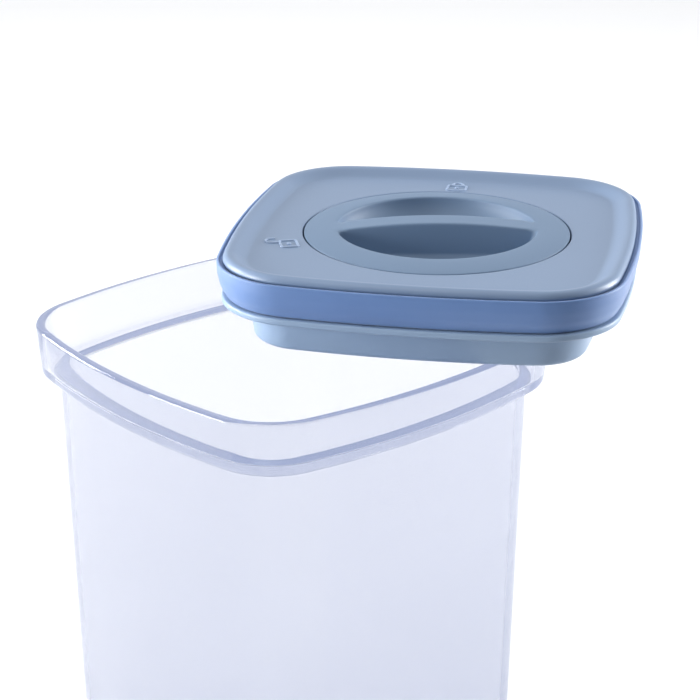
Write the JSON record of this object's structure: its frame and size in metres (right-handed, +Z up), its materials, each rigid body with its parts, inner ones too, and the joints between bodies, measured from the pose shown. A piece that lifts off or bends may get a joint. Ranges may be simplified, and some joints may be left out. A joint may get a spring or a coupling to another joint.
{
  "type": "lidded storage canister",
  "caption": "Clear square storage canister with a twist-lock lid: a turn knob draws up a tub plate that squeezes a silicone seal outward in the collar.",
  "frame": {"origin": "middle of the canister's flat base", "axes": "+Z up from the base to the rim; X and Y square to the canister's sides; the lid lies on the rim towards +X"},
  "size_m": [0.1555, 0.1309, 0.1881],
  "materials": {
    "clear_plastic": "clear moulded wall, faint lavender tint",
    "cover_plastic": "fine satin grey-blue moulding",
    "tub_plastic": "satin grey-blue moulding",
    "seal_silicone": "smooth matte blue silicone",
    "inner_plastic": "natural acetal",
    "screw_steel": "stainless steel",
    "ring_rubber": "black nitrile rubber"
  },
  "bodies": {
    "canister": {"canister_body": "clear_plastic"},
    "lid": {"top_cover": "cover_plastic", "seal_carrier": "inner_plastic", "carrier_screws": "screw_steel", "silicone_seal": "seal_silicone", "guide_pins": "screw_steel"},
    "knob": {"turn_knob": "cover_plastic", "knob_cam": "inner_plastic", "knob_screws": "screw_steel", "thrust_washer": "inner_plastic", "stem_o_ring": "ring_rubber"},
    "tub": {"lower_tub": "tub_plastic", "lift_collar": "inner_plastic", "collar_screws": "screw_steel"}
  },
  "joints": [
    {"name": "lid_lift", "type": "slide", "parent": "canister", "child": "lid", "axis": [0, 0, 1], "range_m": [0, 0.08]},
    {"name": "knob_turn", "type": "hinge", "parent": "lid", "child": "knob", "pos_m": [0.038, -0.0134, 0.1849], "axis": [0, 0, -1], "range_deg": [0, 100.5]},
    {"name": "clamp_rise", "type": "slide", "parent": "lid", "child": "tub", "axis": [0, 0, 1], "range_m": [0, 0.002], "deforming": ["silicone_seal"]}
  ],
  "couplings": [
    {"joint": "clamp_rise", "follows": "knob_turn", "m_per_rad": 0.0011402}
  ]
}
